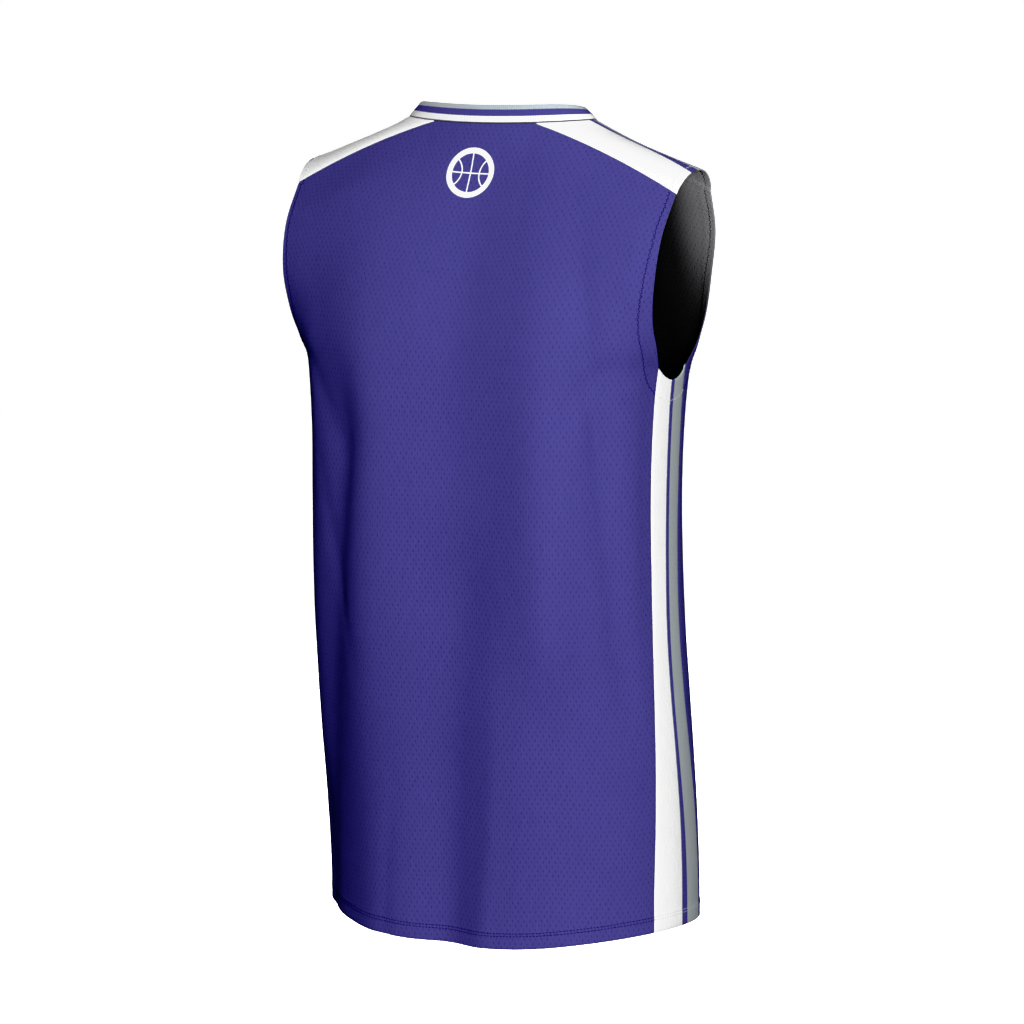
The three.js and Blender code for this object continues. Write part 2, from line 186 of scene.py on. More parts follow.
# Grid of each piece, and the length of cloth that its columns or rows are spread over
PANEL_LENGTH = 490.0
ABOVE_LENGTH = 230.0            # from the underarm to the shoulder
SIDE_LENGTH = 60.0
SHOULDER_LENGTH = 150.0         # from the neck to the armhole
OVER_LENGTH = 95.0              # from the back seam over the shoulder to the front seam
SEAM_COLUMNS = (0.0, 0.8, 1.8, 3.2)   # distances from a seam, before the even columns begin
PANEL_COLUMNS = 150
ROWS_BELOW = 170
ROWS_ABOVE = 74
SIDE_COLUMNS = 26
SHOULDER_ALONG = 56
SHOULDER_OVER = 44
BAND_COLUMNS = 260
BAND_ROWS = 12
RIM_STEPS = 3
FOLDED_RIM = 0.7                # share of a folded rim that belongs to the outer side, and of a cut one
CUT_RIM = 0.3
EASED_ROWS = 16                 # rows each side of the underarm over which its bend is evened out
EASED_SIDES = 0.12              # the evening out ends over this share beside each side seam

# Knit, in metres
EYELET_COLUMN = 0.0053
EYELET_ROW = 0.0042
EYELET_HALF_WIDTH = 0.0007
EYELET_HALF_HEIGHT = 0.0014
WALE = 0.00105
COURSE = 0.0008
RIB = 0.0021
KNIT_DEPTH = 0.0005             # height of the relief of the violet cloth, the striped cloth and the rib
STRIPED_DEPTH = 0.00022
RIB_DEPTH = 0.0003
THREAD_DEPTH = 0.0001

# Stripes, in metres
SIDE_STRIPE = 0.0055
SIDE_STRIPE_SHIFT = 0.003       # towards the front at the hem
SIDE_STRIPE_SHIFT_FROM = 0.30   # height above the hem where the shift begins
SIDE_STRIPE_SPREAD = 0.0045     # how much wider the stripe is at the hem
SIDE_STRIPE_SPREAD_FROM = 0.20
SHOULDER_STRIPE = 0.0055
SHOULDER_STRIPE_PLACE = (0.006, -0.0085)   # in front of the panel's middle, at the neck and the armhole
SHOULDER_STRIPE_REACH = 0.12
SHOULDER_STRIPE_SPREAD = 0.004  # how much wider the stripe is at the armhole
STRIPE_EDGE = 0.00015
BAND_WHITE = 0.0067
BAND_VIOLET = 0.0123            # the violet stripe ends this far above the seam, and the grey begins
BAND_JOIN_SHADOW = 0.0016              # painted shadow of the join shows up to here
BAND_EDGE = 0.00012

# Printed emblem below the neckband
EMBLEM_DROP = -44.0
EMBLEM_RADIUS = 0.024
EMBLEM_BALL = 0.0185            # radius of the violet ball on the white disc
EMBLEM_LINE = 0.0007            # half width of the ball's lines
EMBLEM_BENDS = (1.36, 0.88)     # centre and radius of its two bent lines, as shares of the ball's radius
PRINT_EDGE = 0.0002

# Stitching
THREAD = 0.00040                # half thickness
FINE_THREAD = 0.00022
THREAD_LIFT = 0.3               # share of its half thickness by which a thread's middle is off the cloth
HEM_ROWS = (11.6, 14.2)         # above the hem
HEM_STITCH = 0.0031             # from one stitch to the next
HEM_STITCH_SHARE = 0.86         # share of that which the stitch takes up
ARMHOLE_STITCHES = 19.0         # how far the zigzag runs from the armhole edge
ARMHOLE_CENTRE = (0.0, 8.0, -140.0)
ARMHOLE_TURNS = 40              # how often the zigzag's line is evened out
ARMHOLE_ZIGZAG = 2.3            # distance between two corners of the zigzag, along the seam
ARMHOLE_SWING = 0.72            # angle of a stitch from the seam line, in radians

# Colours, linear
VIOLET = (0.069, 0.061, 0.288, 1)
VIOLET_EYELET = (0.050, 0.043, 0.208, 1)
WHITE = (0.93, 0.93, 0.925, 1)
WHITE_EYELET = (0.88, 0.885, 0.885, 1)
GREY = (0.47, 0.52, 0.54, 1)
GREY_EYELET = (0.435, 0.48, 0.50, 1)
# The reverse is charcoal. Its painted-shade copies are nearly black for the depth of the body, and its
# painted-light copies are paler by the armholes
CHARCOAL_PAINTED_SHADE = (0.028, 0.028, 0.029, 1)
CHARCOAL_PAINTED_SHADE_EYELET = (0.019, 0.019, 0.020, 1)
CHARCOAL_PAINTED_LIGHT = (0.34, 0.34, 0.35, 1)
CHARCOAL_PAINTED_LIGHT_EYELET = (0.24, 0.24, 0.25, 1)
# painted shadow under the neckband, where it meets the panels
JOIN_SHADE = (0.06, 0.06, 0.10, 1)
THREADS = {
    # the violet thread is darker than the violet cloth: its own colour, deepened with painted shade of the
    # seam it lies in
    "violet": (0.014, 0.011, 0.085, 1),
    "pale": (0.60, 0.62, 0.63, 1),
    "black": (0.006, 0.006, 0.007, 1),
}
PAINTED_LIGHT_ACROSS = (0.14, 0.20)       # painted light: the reverse turns paler between these distances from the middle
PAINTED_LIGHT_UP = (-0.20, -0.05)         # and between these heights
SHEEN = 0.02

# Camera of the photograph
AIM = Vector((0, 0, -0.363))
VIEW_AZIMUTH = 210.0
VIEW_HEIGHT = 6.9
DISTANCE = 4.6
LENS = 175.6
SHIFT = 0.0094
FLOOR_HEIGHT = -1.05
FLOOR_REACH = 6.0

# Soft lights: degrees round from the front towards the wearer's left, degrees up, diameter and watts
LIGHT_DISTANCE = 4.0
LIGHTS = {
    "key light": (215, 6, 1.2, 134),
    "side light": (265, 8, 1.5, 15),
    "top light": (200, 64, 1.8, 52),
    "front light": (30, 10, 1.2, 110),
}
WORLD_LIGHT = 0.02              # what the white surroundings give to the cloth

# Tones of the photograph: its shadows are deep, and its whites reach the top
TONES = [
    (0, 0), (0.005, 0.0001), (0.01, 0.0006), (0.015, 0.002), (0.02, 0.0044), (0.03, 0.0129), (0.04, 0.0253),
    (0.05, 0.0395), (0.06, 0.0537), (0.08, 0.0785), (0.1, 0.0998), (0.42, 0.42), (0.55, 0.66), (0.65, 0.82),
    (0.75, 0.90), (0.85, 0.94), (0.97, 0.955), (1, 1),
]


def lerp(a, b, share):
    return a + (b - a) * share


def smooth(x):
    t = np.clip(x, 0, 1)
    return t * t * (3 - 2 * t)


def power(x, exponent):
    return np.sign(x) * np.abs(x) ** exponent


def degrees_of(angle):
    radians = np.radians(angle)
    return np.sin(radians), np.cos(radians)


def point(x, y, z):
    return np.stack(np.broadcast_arrays(x, y, z), -1).astype(float)


def mirrored(points, side):
    return points * point(side, 1, 1)


def unit(vectors):
    return vectors / np.linalg.norm(vectors, axis=-1, keepdims=True)


def curve_through(at, values):
    """Smooth curve through a column of values, or through points."""
    at, values = np.asarray(at, float), np.asarray(values, float)
    slope = np.gradient(values, at, axis=0)

    def curve(x):
        inside = np.clip(np.asarray(x, float), at[0], at[-1])
        i = np.clip(np.searchsorted(at, inside, side="right") - 1, 0, len(at) - 2)
        h = np.asarray(at[i + 1] - at[i])
        t = (inside - at[i]) / h
        if values.ndim > 1:
            h, t = h[..., None], t[..., None]
        start = (2 * t**3 - 3 * t**2 + 1) * values[i] + (t**3 - 2 * t**2 + t) * h * slope[i]
        end = (3 * t**2 - 2 * t**3) * values[i + 1] + (t**3 - t**2) * h * slope[i + 1]
        return start + end

    return curve


body = {name: curve_through(BODY[:, 0], BODY[:, i]) for i, name in enumerate(BODY_COLUMNS) if i}


def fold_height(angle, z):
    total = np.zeros(np.broadcast(angle, z).shape)
    for top_z, top_angle, top_spread, top_height, low_z, low_angle, low_spread, low_height in FOLDS:
        run = np.clip((top_z - z) / (top_z - low_z), 0, 1)
        grown = smooth((top_z - z) / FOLD_FADE)
        dying = smooth((z - low_z) / FOLD_FADE) if low_z > HEM_AT_BACK else 1.0
        away = (angle - lerp(top_angle, low_angle, run) + 180) % 360 - 180
        shape = np.exp(-((away / lerp(top_spread, low_spread, run)) ** 2))
        total = total + lerp(top_height, low_height, run) * grown * dying * shape
    return total


def ring(z, angle):
    """Point of the body at a height, in a direction given in degrees from the centre back."""
    z, angle = np.broadcast_arrays(np.asarray(z, float), np.asarray(angle, float))
    s, c = degrees_of(angle)
    fold = fold_height(angle, z)
    depth = np.where(c >= 0, body["back_depth"](z), body["front_depth"](z)) + fold
    x = (body["half_width"](z) + fold) * power(s, 2 / ROUNDNESS)
    y = body["centre_y"](z) + depth * power(c, 2 / ROUNDNESS)
    return point(x, y, z)


def hem_height(angle):
    away = (angle - HEM_DROP["at"] + 180) % 360 - 180
    level = lerp(HEM_AT_BACK, HEM_AT_SIDE, degrees_of(angle)[0] ** 2)
    return level - HEM_DROP["depth"] * np.exp(-((away / HEM_DROP["spread"]) ** 2))


def neck(angle):
    """Point of the neck seam, in degrees from the centre back."""
    s, c = degrees_of(angle)
    back = c >= 0
    y = np.where(back, NECK_BACK_DEPTH, NECK_FRONT_DEPTH) * c
    z = -np.where(back, NECK_BACK_DROP * c**2, NECK_FRONT_DROP * np.abs(c) ** NECK_FRONT_CURVE)
    return point(NECK_HALF_WIDTH * s, y, z)


def bezier(p0, p1, p2, p3, t):
    t = np.asarray(t, float)[..., None]
    return (1 - t) ** 3 * p0 + 3 * (1 - t) ** 2 * t * p1 + 3 * (1 - t) * t**2 * p2 + t**3 * p3


def angle_across(panel, across, z):
    """Direction from the centre back for a position across a panel: -1 and 1 are its side seams."""
    if panel == "back":
        return across * (90 - body["back_seam"](z))
    return 180 - across * (90 - body["front_seam"](z))


def edge_curve(panel):
    """Armhole edge of the wearer's left side: 0 at the underarm seam, 1 at the shoulder seam."""
    foot = ring(UNDERARM, angle_across(panel, 1.0, UNDERARM))
    points = np.vstack([foot, ARMHOLE[panel]])
    return curve_through(np.linspace(0, 1, len(points)), points)


armhole_edge = {panel: edge_curve(panel) for panel in ("back", "front")}


def armhole_top(t):
    """Armhole edge over the shoulder: 0 at the back seam, 1 at the front seam."""
    last = len(ARMHOLE["back"])
    ends = {panel: armhole_edge[panel](1.0) for panel in ("back", "front")}
    reach = {}
    for panel, end in ends.items():
        step = (end - armhole_edge[panel]((last - 1) / last)) * TIP_FULLNESS
        reach[panel] = end + step + point(TIP_FLARE, 0, 0)
    return bezier(ends["back"], reach["back"], reach["front"], ends["front"], t)


def rise(panel, across):
    """Direction in which the cloth arrives at its top edge."""
    middle, side = (np.array(RISE[panel][end], float) for end in ("middle", "side"))
    return lerp(middle, side, (np.abs(across) ** 1.5)[..., None])


def strip(along, over):
    """Cross strip of a shoulder panel before its ends are fitted to the neck and the armhole."""
    bow = 4 * along * (1 - along)
    share = along[..., None]
    from_back = lerp(neck(YOKE_FROM), armhole_edge["back"](1.0), share) + point(0, 0, SEAM_BOW["back"] * bow)
    to_front = lerp(neck(YOKE_TO), armhole_edge["front"](1.0), share) + point(0, 0, SEAM_BOW["front"] * bow)
    back_rise = rise("back", lerp(NECK_SHARE["back"], 1, along)) * RIDGE_FULLNESS
    front_rise = rise("front", lerp(NECK_SHARE["front"], 1, along)) * RIDGE_FULLNESS
    return bezier(from_back, from_back + back_rise, to_front + front_rise, to_front, over)


def shoulder(along, over):
    """Wearer's left shoulder panel: along from neck to armhole, and over from the back to the front seam."""
    along, over = np.broadcast_arrays(np.asarray(along, float), np.asarray(over, float))
    near_neck = neck(lerp(YOKE_FROM, YOKE_TO, over)) - strip(0 * along, over)
    near_arm = armhole_top(over) - strip(0 * along + 1, over)
    return strip(along, over) + (1 - along[..., None]) ** 2 * near_neck + along[..., None] ** 2 * near_arm


def top_edge(panel, across):
    """Top edge of the back or front panel: the neck seam in the middle, then the shoulder seam."""
    share, reach = NECK_SHARE[panel], np.abs(across)
    middle, corner = (0, YOKE_FROM) if panel == "back" else (180, YOKE_TO)
    on_neck = neck(lerp(middle, corner, reach / share))
    on_seam = shoulder(np.clip((reach - share) / (1 - share), 0, 1), 0.0 if panel == "back" else 1.0)
    edge = np.where((reach <= share)[..., None], on_neck, on_seam)
    return mirrored(edge, np.where(across < 0, -1.0, 1.0))


def column_of(panel, across, up):
    start = ring(UNDERARM, angle_across(panel, across, UNDERARM))
    below = ring(UNDERARM - BODY_SLICE, angle_across(panel, across, UNDERARM - BODY_SLICE))
    away = (start - below) * (RISE_FROM_BODY / BODY_SLICE)
    end = top_edge(panel, across)
    return bezier(start, start + away, end - rise(panel, across), end, up)


def upper(panel, across, up):
    """Back or front panel above the underarm: across from -1 to 1, up from 0 to 1."""
    side = np.where(across < 0, -1.0, 1.0)
    edge = mirrored(armhole_edge[panel](up), side)
    miss = edge - column_of(panel, side, up)
    share = smooth((np.abs(across) - EDGE_ZONE) / (1 - EDGE_ZONE))
    return column_of(panel, across, up) + miss * share[..., None]


def lower(panel, across, up):
    at_hem = hem_height(angle_across(panel, across, HEM_AT_SIDE))
    z = lerp(at_hem, UNDERARM, up)
    return ring(z, angle_across(panel, across, z))


def noise(x, seed):
    """Smooth uneven line between -1 and 1, the same on every run."""
    turn = seed * 1.7
    return (np.sin(x + turn) + 0.6 * np.sin(2.3 * x + 2 * turn) + 0.4 * np.sin(4.1 * x + 3 * turn)) / 2


def crease_height(panel, side, height):
    total = np.zeros(side.shape)
    for side_0, height_0, width_0, depth_0, side_1, height_1, width_1, depth_1, bow in CREASES[panel]:
        step_side, step_height = side_1 - side_0, height_1 - height_0
        length = math.hypot(step_side, step_height)
        run = ((side - side_0) * step_side + (height - height_0) * step_height) / length**2
        inside = np.clip(run, 0, 1)
        off = ((side - side_0) * step_height - (height - height_0) * step_side) / length
        off = off - bow * 4 * inside * (1 - inside)
        fade = smooth((run + CREASE_ENDS) / (2 * CREASE_ENDS))
        fade = fade * smooth((1 + CREASE_ENDS - run) / (2 * CREASE_ENDS))
        shape = np.exp(-((off / lerp(width_0, width_1, inside)) ** 2))
        total += lerp(depth_0, depth_1, inside) * fade * shape
    return total


def normals_of(points, outward, closed=False):
    """Outward normals of a grid of points."""
    if closed:
        wide = np.concatenate([points[:, -1:], points, points[:, :1]], 1)
        along = np.gradient(wide, axis=1)[:, 1:-1]
    else:
        along = np.gradient(points, axis=1)
    return unit(np.cross(along, np.gradient(points, axis=0)) * outward)


def unrolled(points, row, column):
    """Place of each grid point on the flat cloth: side from one column, and height from one row."""
    step = np.linalg.norm(np.diff(points, axis=0), axis=-1)
    height = np.concatenate([np.zeros((1, points.shape[1])), np.cumsum(step, 0)])
    height -= height[row]
    reach = np.linalg.norm(np.diff(points, axis=1), axis=-1)
    flat = np.sqrt(np.maximum(reach**2 - np.diff(height, axis=1) ** 2, (0.3 * reach) ** 2))
    side = np.concatenate([np.zeros((points.shape[0], 1)), np.cumsum(flat, 1)], 1)
    side -= side[:, column:column + 1]
    return side, height


def seam_relief(distance, along, seed):
    """How the cloth sinks into a seam and ripples beside it."""
    dip = -SEAM_DIP * np.exp(-((distance / SEAM_DIP_REACH) ** 2))
    ripple = noise(along * 2 * math.pi / PUCKER_LENGTH, seed)
    return dip + PUCKER * ripple * np.exp(-distance / PUCKER_REACH) * (1 - np.exp(-distance / 2))


def hem_relief(along, from_hem):
    """Ripples at the hem's stitching, and how far the doubled cloth below it stands out."""
    near = np.exp(-((from_hem - HEM_TURNING) / HEM_PUCKER_REACH) ** 2)
    ripple = PUCKER * noise(along * 2 * math.pi / PUCKER_LENGTH, 3) * near
    return ripple + HEM_STEP * np.clip(1 - from_hem / HEM_TURNING, 0, 1) ** 0.25


def turned_in(distance, width):
    """1 where an edge is turned in, up to a width from it."""
    return smooth((width - distance) / 2)


def new_object(name, data):
    made = bpy.data.objects.new(name, data)
    bpy.context.scene.collection.objects.link(made)
    return made


def grid_mesh(name, points, normal, thickness, outward, cut, rims, closed=False, around=0.0):
    """Closed shell of cloth. Its outer side has the first material, and its inner side the second.
    Rims give how far the bottom, right, top and left edges bulge: 1 is a round fold and 0 a flat cut."""
    def flat(grid):
        return grid.reshape(-1, grid.shape[-1])

    rows, columns = points.shape[:2]
    inner = points - normal * thickness[..., None]
    index = np.arange(rows * columns).reshape(rows, columns)
    vertices, places = [flat(points), flat(inner)], [flat(cut), flat(cut)]
    faces, kinds = [], []
    following = np.roll(index, -1, 1) if closed else index[:, 1:]
    present = index if closed else index[:, :-1]
    quads = np.stack([present[:-1], following[:-1], following[1:], present[1:]], -1).reshape(-1, 4)
    if outward < 0:
        quads = quads[:, ::-1]
    faces += [quads, quads[:, ::-1] + rows * columns]
    kinds += [np.zeros(len(quads), int), np.ones(len(quads), int)]
    up = unit(np.gradient(points, axis=0))
    if closed:
        loops = [(index[0], -up[0] * rims[0]), (index[-1][::-1], (up[-1] * rims[2])[::-1])]
    else:
        right = unit(np.gradient(points, axis=1))
        away = np.zeros_like(points)
        away[0] -= up[0] * rims[0]
        away[-1] += up[-1] * rims[2]
        away[:, 0] -= right[:, 0] * rims[3]
        away[:, -1] += right[:, -1] * rims[1]
        loop = np.concatenate([index[0], index[1:, -1], index[-1, -2::-1], index[-2:0:-1, 0]])
        loops = [(loop, flat(away)[loop])]
    count = 2 * rows * columns
    for loop, away in loops:
        half = flat(normal)[loop] * thickness.reshape(-1, 1)[loop] / 2
        middle = flat(points)[loop] - half
        bulge = away * thickness.reshape(-1, 1)[loop] / 2
        rings = [loop]
        for step in range(1, RIM_STEPS):
            turn = math.pi * step / RIM_STEPS
            vertices.append(middle + half * math.cos(turn) + bulge * math.sin(turn))
            places.append(flat(cut)[loop])
            rings.append(np.arange(count, count + len(loop)))
            count += len(loop)
        rings.append(loop + rows * columns)
        outer_share = np.where(np.linalg.norm(away, axis=-1) > 0.5, FOLDED_RIM, CUT_RIM)
        for step, (near, far) in enumerate(zip(rings, rings[1:])):
            band = np.stack([np.roll(near, -1), near, far, np.roll(far, -1)], -1)
            faces.append(band if outward > 0 else band[:, ::-1])
            kinds.append(((step + 0.5) / RIM_STEPS > outer_share).astype(int))
    return plain_mesh(name, np.concatenate(vertices) * MM, np.concatenate(faces), np.concatenate(kinds),
                      np.concatenate(places) * MM, around * MM)


def plain_mesh(name, vertices, faces, kinds, cut, around):
    """Mesh of four-sided faces. On a ring the cut runs on to its full length where it closes."""
    mesh = bpy.data.meshes.new(name)
    mesh.from_pydata(vertices.tolist(), [], faces.tolist())
    mesh.polygons.foreach_set("material_index", kinds.astype(np.int32))
    layer = mesh.uv_layers.new(name="cut")
    corners = np.zeros(len(mesh.loops), np.int32)
    mesh.loops.foreach_get("vertex_index", corners)
    places = cut[corners].reshape(-1, 4, 2)
    if around:
        places[..., 0] += around * (places[..., 0] < places[..., 0].max(1, keepdims=True) - around / 2)
    layer.data.foreach_set("uv", places.astype(np.float32).ravel())
    mesh.polygons.foreach_set("use_smooth", np.ones(len(mesh.polygons), bool))
    mesh.update()
    return new_object(name, mesh)


def columns_with_seams(length, count):
    """Positions across a piece from 0 to 1, closer together beside its two seams."""
    near = np.array(SEAM_COLUMNS) / length
    middle = np.linspace(near[-1], 1 - near[-1], count)
    return np.concatenate([near[:-1], middle, 1 - near[:-1][::-1]])


def eased(points, across):
    """Evens out the bend at the underarm row, and leaves the side seams where they are."""
    near = smooth(1 - np.abs(np.arange(len(points)) - ROWS_BELOW) / EASED_ROWS)
    share = (near[:, None] * smooth((1 - np.abs(across)) / EASED_SIDES))[..., None]
    for turn in range(EASED_ROWS):
        middle = points.copy()
        middle[1:-1] = (points[:-2] + 2 * points[1:-1] + points[2:]) / 4
        points = lerp(points, middle, share)
    return points


def cloth_shell(name, points, outward, relief, turned, cut, rims):
    """Shell of cloth, raised by its relief and thicker where an edge is turned in."""
    points = points + normals_of(points, outward) * relief[..., None]
    thickness = CLOTH + TURNING * turned
    normal = normals_of(points, outward)
    return grid_mesh(name, points, normal, thickness, outward, np.stack(cut, -1), rims)


def panel_piece(panel):
    """Back or front, from the hem to the neck and the shoulder seams."""
    u = columns_with_seams(PANEL_LENGTH, PANEL_COLUMNS + 1)
    across = (2 * u - 1) * (1 - SEAM_GAP / PANEL_LENGTH)
    below = np.linspace(0, 1, ROWS_BELOW + 1)[:, None]
    above = columns_with_seams(ABOVE_LENGTH, ROWS_ABOVE) * (1 - SEAM_GAP / 2 / ABOVE_LENGTH)
    above = above[above > 1 / ROWS_ABOVE / 2][:, None]
    points = np.concatenate([
        lower(panel, across + 0 * below, below + 0 * across),
        upper(panel, across + 0 * above, above + 0 * across),
    ])
    points = eased(points, across)
    side, height = unrolled(points, ROWS_BELOW, len(u) // 2)
    to_seam = np.abs(side[:, -1:] * (side > 0) + side[:, :1] * (side <= 0)) - np.abs(side)
    from_hem = height - height[0]
    from_top = height[-1] - height
    above_underarm = smooth((height + 6) / 12)
    fade = smooth(from_top / CREASE_TO_EDGE) * smooth(to_seam / CREASE_TO_SEAM)
    relief = crease_height(panel, side, height) * fade
    relief += seam_relief(to_seam, height, 1) * (1 - above_underarm)
    relief += seam_relief(from_top, side, 2) + hem_relief(side, from_hem)
    at_armhole = turned_in(to_seam, ARMHOLE_TURNING) * above_underarm
    turned = np.maximum(turned_in(from_hem, HEM_TURNING), at_armhole)
    return cloth_shell(panel + "_cloth", points, OUTWARD[panel], relief, turned, (side, height),
                       (1, 0.3, 0.2, 0.3))


def underarm_dip(t):
    """How far the side panel's top edge dips, from its back seam to its front seam."""
    return UNDERARM_DIP * (1 - (2 * t - 1) ** 2)


def across_side(z, t):
    """Direction from the centre back for a position across the wearer's left side panel."""
    return lerp(90 - body["back_seam"](z), 90 + body["front_seam"](z), t)


def side_piece(name, side):
    """Panel between back and front, with the armhole's lowest part cut into its top edge."""
    u = columns_with_seams(SIDE_LENGTH, SIDE_COLUMNS + 1)
    inset = SEAM_GAP / 2 / SIDE_LENGTH
    t = lerp(inset, 1 - inset, u)[None, :]
    v = np.linspace(0, 1, ROWS_BELOW + 1)[:, None]
    z = lerp(hem_height(side * across_side(HEM_AT_SIDE, t)), UNDERARM, v)
    z = z - underarm_dip(t) * smooth((v - 1 + DIP_ZONE) / DIP_ZONE)
    points = ring(z, side * across_side(z, t))
    across, height = unrolled(points, 0, len(u) // 2)
    to_seam = np.minimum(across - across[:, :1], across[:, -1:] - across)
    relief = seam_relief(to_seam, height, 1) + hem_relief(across, height)
    at_armhole = turned_in(height[-1] - height, ARMHOLE_TURNING)
    turned = np.maximum(turned_in(height, HEM_TURNING), at_armhole)
    return cloth_shell(name, points, -side, relief, turned, (across, height), (1, 0.3, 1, 0.3))


def shoulder_piece(name, side):
    """Panel over a shoulder, from the neck to the armhole."""
    u = columns_with_seams(SHOULDER_LENGTH, SHOULDER_ALONG + 1)[None, :]
    inset = SEAM_GAP / 2 / OVER_LENGTH
    v = lerp(inset, 1 - inset, columns_with_seams(OVER_LENGTH, SHOULDER_OVER + 1))[:, None]
    points = mirrored(shoulder(u, v), side)
    along, over = unrolled(points, len(v) // 2, 0)
    to_seam = np.minimum(over - over[:1], over[-1:] - over)
    relief = seam_relief(to_seam, along, 4) + seam_relief(along, over, 5) * 0.6
    relief = relief - RIDGE_HOLLOW * np.sin(math.pi * u) * (4 * v * (1 - v)) ** 1.5
    turned = turned_in(along[:, -1:] - along, ARMHOLE_TURNING)
    return cloth_shell(name, points, -side, relief, turned, (along, over), (0.2, 1, 0.2, 0.2))


def neckband_piece():
    """Folded knit band that stands on the neck seam and leans in over the neck."""
    angle = np.linspace(0, 360, BAND_COLUMNS, endpoint=False)[None, :]
    v = np.linspace(0, 1, BAND_ROWS + 1)[:, None]
    s, c = degrees_of(angle)
    lean = np.radians(lerp(np.where(c >= 0, BAND_LEAN["back"], BAND_LEAN["front"]), BAND_LEAN["side"], s**4))
    depth = np.where(c >= 0, NECK_BACK_DEPTH, NECK_FRONT_DEPTH)
    inwards = unit(point(-s / NECK_HALF_WIDTH, -c / depth, 0))
    direction = inwards * np.sin(lean)[..., None] + point(0, 0, 1) * np.cos(lean)[..., None]
    points = neck(angle) + direction * lerp(-BAND_LAP, BAND_CLEARANCE + BAND_WIDTH, v)[..., None]
    normal = normals_of(points, -1, closed=True)
    step = np.linalg.norm(np.roll(points[0], -1, 0) - points[0], axis=-1)
    length = round(step.sum() * MM / RIB) * RIB / MM
    around = np.concatenate([[0], np.cumsum(step)[:-1]])[None, :] * length / step.sum() + 0 * v
    height = BAND_WIDTH * v + 0 * around
    fullness = 0.35 * np.sin(math.pi * v) - 0.5 * np.exp(-((v * BAND_WIDTH / SEAM_DIP_REACH) ** 2))
    points = points + normal * (fullness + 0 * angle)[..., None]
    normal = normals_of(points, -1, closed=True)
    thickness = np.full(points.shape[:2], NECKBAND)
    cut = np.stack([around, height], -1)
    rims = (0.4, 0, 1, 0)
    return grid_mesh("neckband", points, normal, thickness, -1, cut, rims, closed=True, around=length)


def add_node(tree, kind, settings, inputs):
    """One node of any kind. An input takes a plain value, or the socket that it is linked from."""
    made = tree.nodes.new(kind)
    for name, value in settings.items():
        setattr(made, name, value)
    for name, value in inputs.items():
        if isinstance(value, bpy.types.NodeSocket):
            tree.links.new(value, made.inputs[name])
        else:
            made.inputs[name].default_value = value
    return made


def operator(operation, reflected=False):
    """Arithmetic that adds one Math node. If it is reflected, the other number comes first."""

    def method(value, other):
        inputs = {int(reflected): value, int(not reflected): other}
        return value.finish.node("ShaderNodeMath", {"operation": operation}, inputs)

    return method


class Value:
    """A number or colour on a surface. Arithmetic on it adds Math nodes to its finish."""

    def __init__(self, finish, socket):
        self.finish = finish
        self.socket = socket

    __add__ = operator("ADD")
    __radd__ = operator("ADD", True)
    __sub__ = operator("SUBTRACT")
    __rsub__ = operator("SUBTRACT", True)
    __mul__ = operator("MULTIPLY")
    __rmul__ = operator("MULTIPLY", True)
    __truediv__ = operator("DIVIDE")
    __pow__ = operator("POWER")

    def __abs__(self):
        return self.math("ABSOLUTE")

    def math(self, operation, *others):
        inputs = dict(enumerate((self, *others)))
        return self.finish.node("ShaderNodeMath", {"operation": operation}, inputs)

    def soft_step(self, start, end):
        """0 up to start, 1 from end on, and a smooth rise between. Start may lie above end."""
        inputs = {"Value": self, "From Min": start, "From Max": end, "To Min": 0.0, "To Max": 1.0}
        return self.finish.node("ShaderNodeMapRange", {"interpolation_type": "SMOOTHSTEP"}, inputs)

    def within(self, limit, edge):
        """1 up to a limit and 0 beyond it, with a soft edge."""
        return self.soft_step(limit + edge, limit - edge)


class Finish:
    """A material whose nodes are written as expressions."""

    def __init__(self, name):
        self.material = bpy.data.materials.new(name)
        self.material.use_nodes = True
        self.tree = self.material.node_tree
        self.tree.nodes.clear()

    def node(self, kind, settings, inputs, output=0):
        sockets = {name: getattr(value, "socket", value) for name, value in inputs.items()}
        made = add_node(self.tree, kind, settings, sockets)
        return Value(self, made.outputs[output]) if made.outputs else None

    def parts(self, vector, axes):
        return [self.node("ShaderNodeSeparateXYZ", {}, {0: vector}, axis) for axis in axes]

    def cut(self):
        """Side and height along the cloth, in metres."""
        return self.parts(self.node("ShaderNodeUVMap", {"uv_map": "cut"}, {}), (0, 1))

    def place(self):
        """Place in the piece's own coordinates."""
        return self.node("ShaderNodeTexCoord", {}, {}, 3)

    def joined(self, x, y):
        return self.node("ShaderNodeCombineXYZ", {}, {0: x, 1: y})

    def mottle(self, x, y):
        """Soft noise from 0 to 1 on a pair of values."""
        inputs = {"Vector": self.joined(x, y), "Scale": 1.0, "Detail": 2.0}
        return self.node("ShaderNodeTexNoise", {"noise_dimensions": "2D"}, inputs)

    def mixed(self, share, first, second):
        return self.node("ShaderNodeMix", {"data_type": "RGBA"}, {0: share, 6: first, 7: second}, 2)

    def shaded(self, colour, value):
        """The colour times a number."""
        return self.node("ShaderNodeVectorMath", {"operation": "SCALE"}, {0: colour, 3: value})

    def cloth_surface(self, colour, roughness, relief, depth, sheen=SHEEN):
        inputs = {
            "Base Color": colour,
            "Roughness": roughness,
            "Normal": self.node("ShaderNodeBump", {}, {"Height": relief, "Distance": depth}),
            "Specular IOR Level": 0.08,
            "Sheen Weight": sheen,
            "Sheen Roughness": 0.55,
        }
        surface = self.node("ShaderNodeBsdfPrincipled", {}, inputs)
        self.node("ShaderNodeOutputMaterial", {}, {"Surface": surface})
        return self.material


